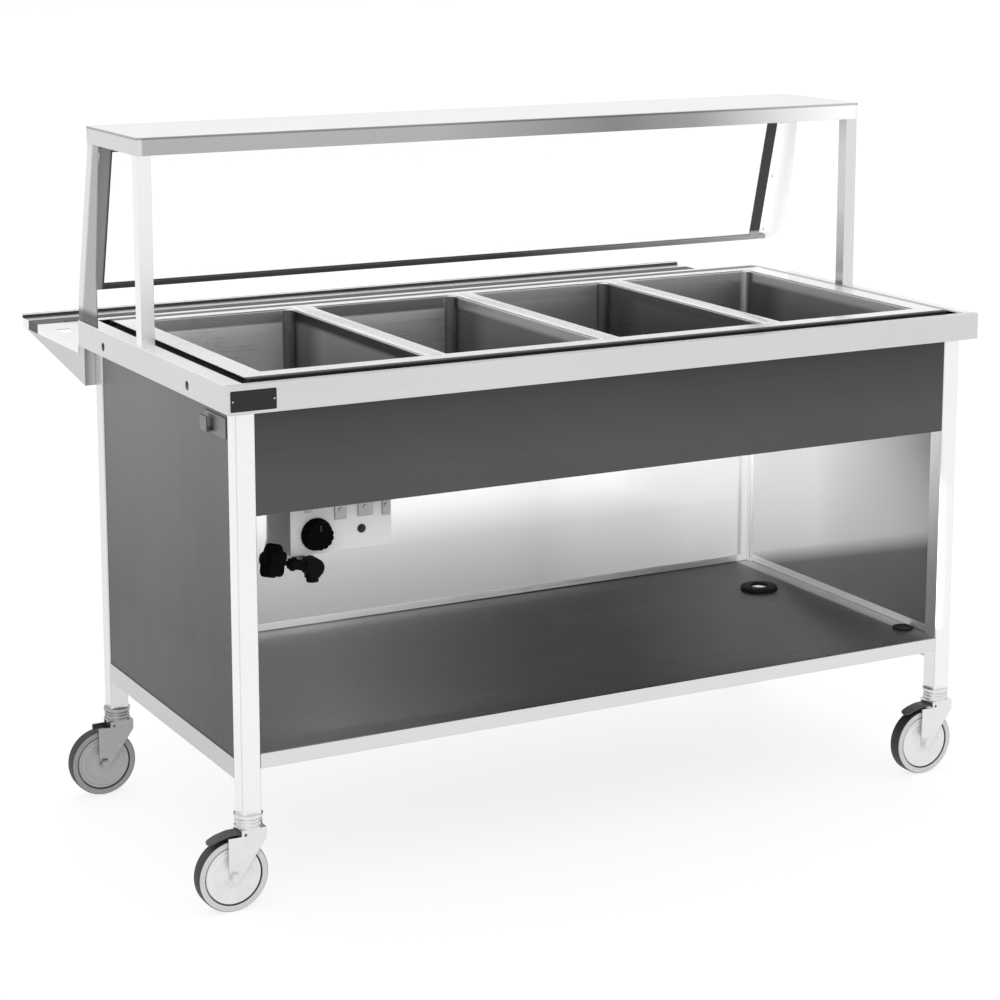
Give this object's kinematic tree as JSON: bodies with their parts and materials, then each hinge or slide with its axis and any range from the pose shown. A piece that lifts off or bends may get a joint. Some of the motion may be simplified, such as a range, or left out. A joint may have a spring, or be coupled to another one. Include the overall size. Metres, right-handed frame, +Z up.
{
  "type": "hot food serving counter",
  "caption": "Mobile stainless serving counter with sunk hot wells, overshelf with clear slanted guard, open storage, drain valve, tray slide and swivel casters.",
  "frame": {"origin": "on the floor, below the middle of the object's box", "axes": "+X along the counter to the operator's right, +Y from the operator to the tray slide, +Z up"},
  "size_m": [1.581, 1.068, 1.276],
  "materials": {
    "stainless": "brushed, light",
    "stainless_bright": "bright, lightly brushed",
    "stainless_dark": "brushed, dark reflection",
    "steel_plate": "plain mill finish",
    "zinc": "bright zinc plating",
    "wheel_disc": "smooth",
    "tyre": "matt rubber",
    "black_plastic": "moulded black",
    "knob_black": "moulded black",
    "white_plate": "satin white",
    "pilot_lens": "dark lens",
    "grommet_rubber": "matt",
    "guard_clear": "clear sheet",
    "dark_rail": "dark satin",
    "valve_black": "dark coated metal",
    "pedal_grey": "dark grey satin"
  },
  "bodies": {
    "counter": {"leg_front_left": "stainless", "leg_front_right": "stainless", "leg_rear_left": "stainless", "leg_rear_right": "stainless", "side_rails": "stainless", "cross_rails": "stainless", "overshelf": "stainless", "near_posts": "stainless", "far_posts": "stainless", "tray_slide": "stainless", "tray_brackets": "stainless", "counter_top": "stainless", "interlock_plate": "stainless", "top_frame": "steel_plate", "well_housing": "steel_plate", "heating_elements": "steel_plate", "control_box": "steel_plate", "plate_clips": "steel_plate", "thermostat": "steel_plate", "well_frame": "stainless_bright", "adapter_bars": "stainless_bright", "liners": "stainless_bright", "drain_manifold": "stainless_bright", "apron": "stainless_dark", "panel_left": "stainless_dark", "panel_right": "stainless_dark", "panel_rear": "stainless_dark", "bottom_shelf": "stainless_dark", "well_1": "stainless_dark", "well_2": "stainless_dark", "well_3": "stainless_dark", "well_4": "stainless_dark", "shelf_grommets": "grommet_rubber", "valve_body": "valve_black", "control_plate": "white_plate", "pilot_light": "pilot_lens", "guard_panel": "guard_clear", "guard_rails": "dark_rail", "frame_bolts": "zinc", "caster_cups": "zinc"},
    "caster_front_left": {"fork_front_left": "zinc", "axle_front_left": "zinc"},
    "wheel_front_left": {"hub_front_left": "wheel_disc", "tyre_front_left": "tyre"},
    "caster_front_right": {"fork_front_right": "zinc", "axle_front_right": "zinc"},
    "wheel_front_right": {"hub_front_right": "wheel_disc", "tyre_front_right": "tyre"},
    "caster_rear_left": {"fork_rear_left": "zinc", "axle_rear_left": "zinc"},
    "wheel_rear_left": {"hub_rear_left": "wheel_disc", "tyre_rear_left": "tyre"},
    "caster_rear_right": {"fork_rear_right": "zinc", "axle_rear_right": "zinc"},
    "wheel_rear_right": {"hub_rear_right": "wheel_disc", "tyre_rear_right": "tyre"},
    "pedal_front_left": {"pedal_front_left": "pedal_grey"},
    "pedal_front_right": {"pedal_front_right": "pedal_grey"},
    "knob": {"thermostat_knob": "knob_black"},
    "drain_handle": {"valve_handle": "black_plastic"}
  },
  "joints": [
    {"name": "swivel_front_left", "type": "hinge", "parent": "counter", "child": "caster_front_left", "pos_m": [-0.694, -0.4875, 0.1436], "axis": [0, 0, 1], "continuous": true},
    {"name": "roll_front_left", "type": "hinge", "parent": "caster_front_left", "child": "wheel_front_left", "pos_m": [-0.727, -0.4875, 0.0635], "axis": [0, 1, 0], "continuous": true},
    {"name": "swivel_front_right", "type": "hinge", "parent": "counter", "child": "caster_front_right", "pos_m": [0.751, -0.4875, 0.1436], "axis": [0, 0, 1], "continuous": true},
    {"name": "roll_front_right", "type": "hinge", "parent": "caster_front_right", "child": "wheel_front_right", "pos_m": [0.718, -0.4875, 0.0635], "axis": [0, 1, 0], "continuous": true},
    {"name": "swivel_rear_left", "type": "hinge", "parent": "counter", "child": "caster_rear_left", "pos_m": [-0.694, 0.1555, 0.1436], "axis": [0, 0, 1], "continuous": true},
    {"name": "roll_rear_left", "type": "hinge", "parent": "caster_rear_left", "child": "wheel_rear_left", "pos_m": [-0.727, 0.1555, 0.0635], "axis": [0, 1, 0], "continuous": true},
    {"name": "swivel_rear_right", "type": "hinge", "parent": "counter", "child": "caster_rear_right", "pos_m": [0.751, 0.1555, 0.1436], "axis": [0, 0, 1], "continuous": true},
    {"name": "roll_rear_right", "type": "hinge", "parent": "caster_rear_right", "child": "wheel_rear_right", "pos_m": [0.718, 0.1555, 0.0635], "axis": [0, 1, 0], "continuous": true},
    {"name": "brake_front_left", "type": "hinge", "parent": "caster_front_left", "child": "pedal_front_left", "pos_m": [-0.707, -0.4875, 0.1345], "axis": [0, -1, 0], "range_deg": [0, 7]},
    {"name": "brake_front_right", "type": "hinge", "parent": "caster_front_right", "child": "pedal_front_right", "pos_m": [0.738, -0.4875, 0.1345], "axis": [0, -1, 0], "range_deg": [0, 7]},
    {"name": "thermostat_turn", "type": "hinge", "parent": "counter", "child": "knob", "pos_m": [-0.554, -0.4689, 0.628], "axis": [0, -1, 0], "range_deg": [0, 300]},
    {"name": "drain_valve_turn", "type": "hinge", "parent": "counter", "child": "drain_handle", "pos_m": [-0.5685, -0.484, 0.577], "axis": [-0.9703, 0, 0.2419], "range_deg": [0, 1080]}
  ]
}
